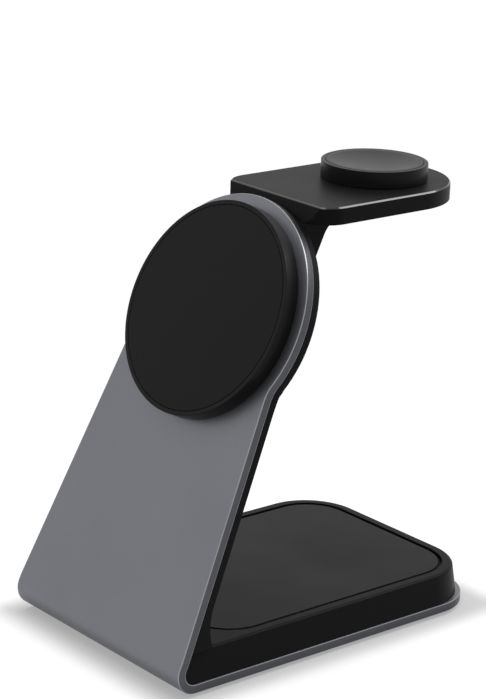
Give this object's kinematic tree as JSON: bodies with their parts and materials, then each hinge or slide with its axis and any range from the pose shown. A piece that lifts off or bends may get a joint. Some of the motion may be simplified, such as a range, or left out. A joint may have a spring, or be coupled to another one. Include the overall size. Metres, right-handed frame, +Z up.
{
  "type": "wireless charging station",
  "caption": "A desk charging station: a folded aluminium sheet with a round charging head, a charging pad on its base and an arm with a puck behind the head.",
  "frame": {"origin": "middle of the bounding box in plan, at the underside of the foot mat", "axes": "X to the right as seen from the front, Y to the back, Z up"},
  "size_m": [0.068, 0.108, 0.1171],
  "materials": {
    "anodised_aluminium": "bead-blasted and anodised grey, with bright cut edges",
    "black_plastic": "fine matt texture",
    "black_silicone": "matt, soft",
    "copper_wire": "varnished wire",
    "ferrite": "dull dark sheet",
    "nickel_plate": "plated, satin",
    "board_green": "lacquered laminate",
    "chip_black": "moulded",
    "white_plastic": "moulded",
    "steel_screw": "zinc plated"
  },
  "bodies": {
    "root": {"stand_sheet": "anodised_aluminium", "foot_mat": "black_silicone", "base_housing": "black_plastic", "base_pad": "black_silicone", "base_coil": "copper_wire", "base_ferrite": "ferrite", "coil_tray": "black_plastic", "main_board": "board_green", "main_chips": "chip_black", "main_inductors": "chip_black", "usb_shell": "nickel_plate", "usb_tongue": "chip_black", "base_screws": "steel_screw", "tray_screws": "steel_screw", "board_screws": "steel_screw", "back_cover": "black_plastic", "pad_body": "black_plastic", "pad_face": "black_silicone", "ring_magnets": "nickel_plate", "ring_backing": "steel_screw", "front_coil": "copper_wire", "front_ferrite": "ferrite", "head_board": "board_green", "head_chips": "chip_black", "head_screws": "steel_screw", "head_board_screws": "steel_screw", "neck_ribbon": "black_plastic", "ribbon_sockets": "white_plastic", "arm_shell": "black_plastic", "arm_plate": "black_plastic", "arm_screws": "steel_screw", "arm_plate_screws": "steel_screw", "arm_ribbon": "black_plastic", "puck_body": "black_plastic", "puck_face": "black_silicone", "puck_coil": "copper_wire", "puck_ferrite": "ferrite", "puck_magnet": "nickel_plate"}
  },
  "joints": []
}
